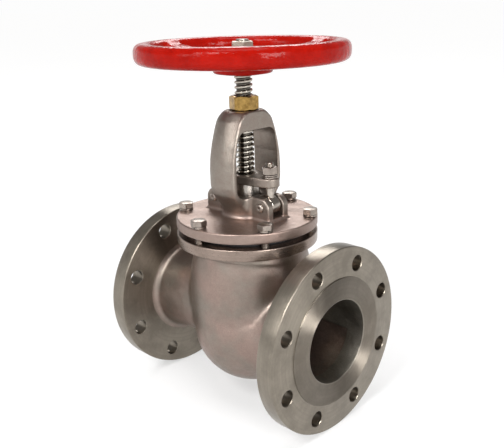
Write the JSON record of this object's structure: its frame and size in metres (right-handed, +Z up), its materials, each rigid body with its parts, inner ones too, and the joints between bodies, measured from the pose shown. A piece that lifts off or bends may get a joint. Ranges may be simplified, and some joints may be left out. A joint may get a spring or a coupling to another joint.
{
  "type": "globe valve",
  "caption": "Flanged globe valve with an outside-screw yoke, rising stem and handwheel, bolted bonnet, gland packing with hinged eyebolts, disc and seat.",
  "frame": {"origin": "on the floor plane under the stem axis, at the bottom of the end flanges, midway between the two flange faces", "axes": "+X out of the inlet flange along the pipe, +Z up along the stem, +Y across"},
  "size_m": [0.292, 0.254, 0.456],
  "materials": {
    "cast_steel": "bead-blasted cast stainless steel",
    "turned_steel": "turned stainless steel with fine concentric marks",
    "bright_steel": "bright stainless fasteners",
    "brass": "machined brass",
    "red_paint": "glossy red enamel over cast iron",
    "graphite": "matt graphite packing and gasket"
  },
  "bodies": {
    "root": {"valve_body": "cast_steel", "seat_ring": "turned_steel", "bonnet_yoke": "cast_steel", "bonnet_gasket": "graphite", "backseat_bush": "turned_steel", "yoke_bush": "brass", "packing_washer": "turned_steel", "eyebolt_pin_1": "bright_steel", "eyebolt_pin_2": "bright_steel", "packing_ring_1": "graphite", "packing_ring_2": "graphite", "packing_ring_3": "graphite", "bonnet_bolt_1": "bright_steel", "bonnet_bolt_2": "bright_steel", "bonnet_bolt_3": "bright_steel", "bonnet_bolt_4": "bright_steel", "bonnet_bolt_5": "bright_steel", "bonnet_bolt_6": "bright_steel", "bonnet_spring_washer_1": "bright_steel", "bonnet_spring_washer_2": "bright_steel", "bonnet_spring_washer_3": "bright_steel", "bonnet_spring_washer_4": "bright_steel", "bonnet_spring_washer_5": "bright_steel", "bonnet_spring_washer_6": "bright_steel"},
    "disc_assembly": {"disc": "turned_steel", "disc_nut": "turned_steel"},
    "stem_and_wheel": {"stem": "bright_steel", "handwheel": "red_paint", "handwheel_washer": "bright_steel", "handwheel_nut": "bright_steel"},
    "gland": {"gland_flange": "turned_steel", "gland_follower": "turned_steel"},
    "eyebolt_1_body": {"eyebolt_1": "bright_steel"},
    "gland_washers_1_body": {"gland_washer_1": "bright_steel", "gland_spring_washer_1": "bright_steel"},
    "gland_nut_1_body": {"gland_nut_1": "bright_steel"},
    "eyebolt_2_body": {"eyebolt_2": "bright_steel"},
    "gland_washers_2_body": {"gland_washer_2": "bright_steel", "gland_spring_washer_2": "bright_steel"},
    "gland_nut_2_body": {"gland_nut_2": "bright_steel"}
  },
  "joints": [
    {"name": "stem_lift", "type": "slide", "parent": "root", "child": "disc_assembly", "axis": [0, 0, 1], "range_m": [-0.01, 0.016]},
    {"name": "wheel_turn", "type": "hinge", "parent": "disc_assembly", "child": "stem_and_wheel", "pos_m": [0, 0, 0.4145], "axis": [0, 0, 1], "range_deg": [-600, 960]},
    {"name": "gland_press", "type": "slide", "parent": "root", "child": "gland", "axis": [0, 0, 1], "range_m": [-0.004, 0], "deforming": ["packing_ring_1", "packing_ring_2", "packing_ring_3"]},
    {"name": "eyebolt_1_swing", "type": "hinge", "parent": "root", "child": "eyebolt_1_body", "pos_m": [0.0406, 0, 0.2619], "axis": [0, 1, 0], "range_deg": [-1, 1]},
    {"name": "gland_washers_1_slide", "type": "slide", "parent": "eyebolt_1_body", "child": "gland_washers_1_body", "axis": [0, 0, 1], "range_m": [-0.004, 0]},
    {"name": "gland_nut_1_turn", "type": "hinge", "parent": "gland_washers_1_body", "child": "gland_nut_1_body", "pos_m": [0.0406, 0, 0.3045], "axis": [0, 0, 1], "range_deg": [-960, 0]},
    {"name": "eyebolt_2_swing", "type": "hinge", "parent": "root", "child": "eyebolt_2_body", "pos_m": [-0.0406, 0, 0.2619], "axis": [0, -1, 0], "range_deg": [-1, 1]},
    {"name": "gland_washers_2_slide", "type": "slide", "parent": "eyebolt_2_body", "child": "gland_washers_2_body", "axis": [0, 0, 1], "range_m": [-0.004, 0]},
    {"name": "gland_nut_2_turn", "type": "hinge", "parent": "gland_washers_2_body", "child": "gland_nut_2_body", "pos_m": [-0.0406, 0, 0.3045], "axis": [0, 0, 1], "range_deg": [-960, 0]}
  ],
  "couplings": [
    {"joint": "stem_lift", "follows": "wheel_turn", "m_per_rad": 0.00095493},
    {"joint": "gland_washers_1_slide", "follows": "gland_press", "ratio": 1},
    {"joint": "gland_nut_1_turn", "follows": "gland_press", "rad_per_m": 4188.8},
    {"joint": "gland_washers_2_slide", "follows": "gland_press", "ratio": 1},
    {"joint": "gland_nut_2_turn", "follows": "gland_press", "rad_per_m": 4188.8}
  ]
}
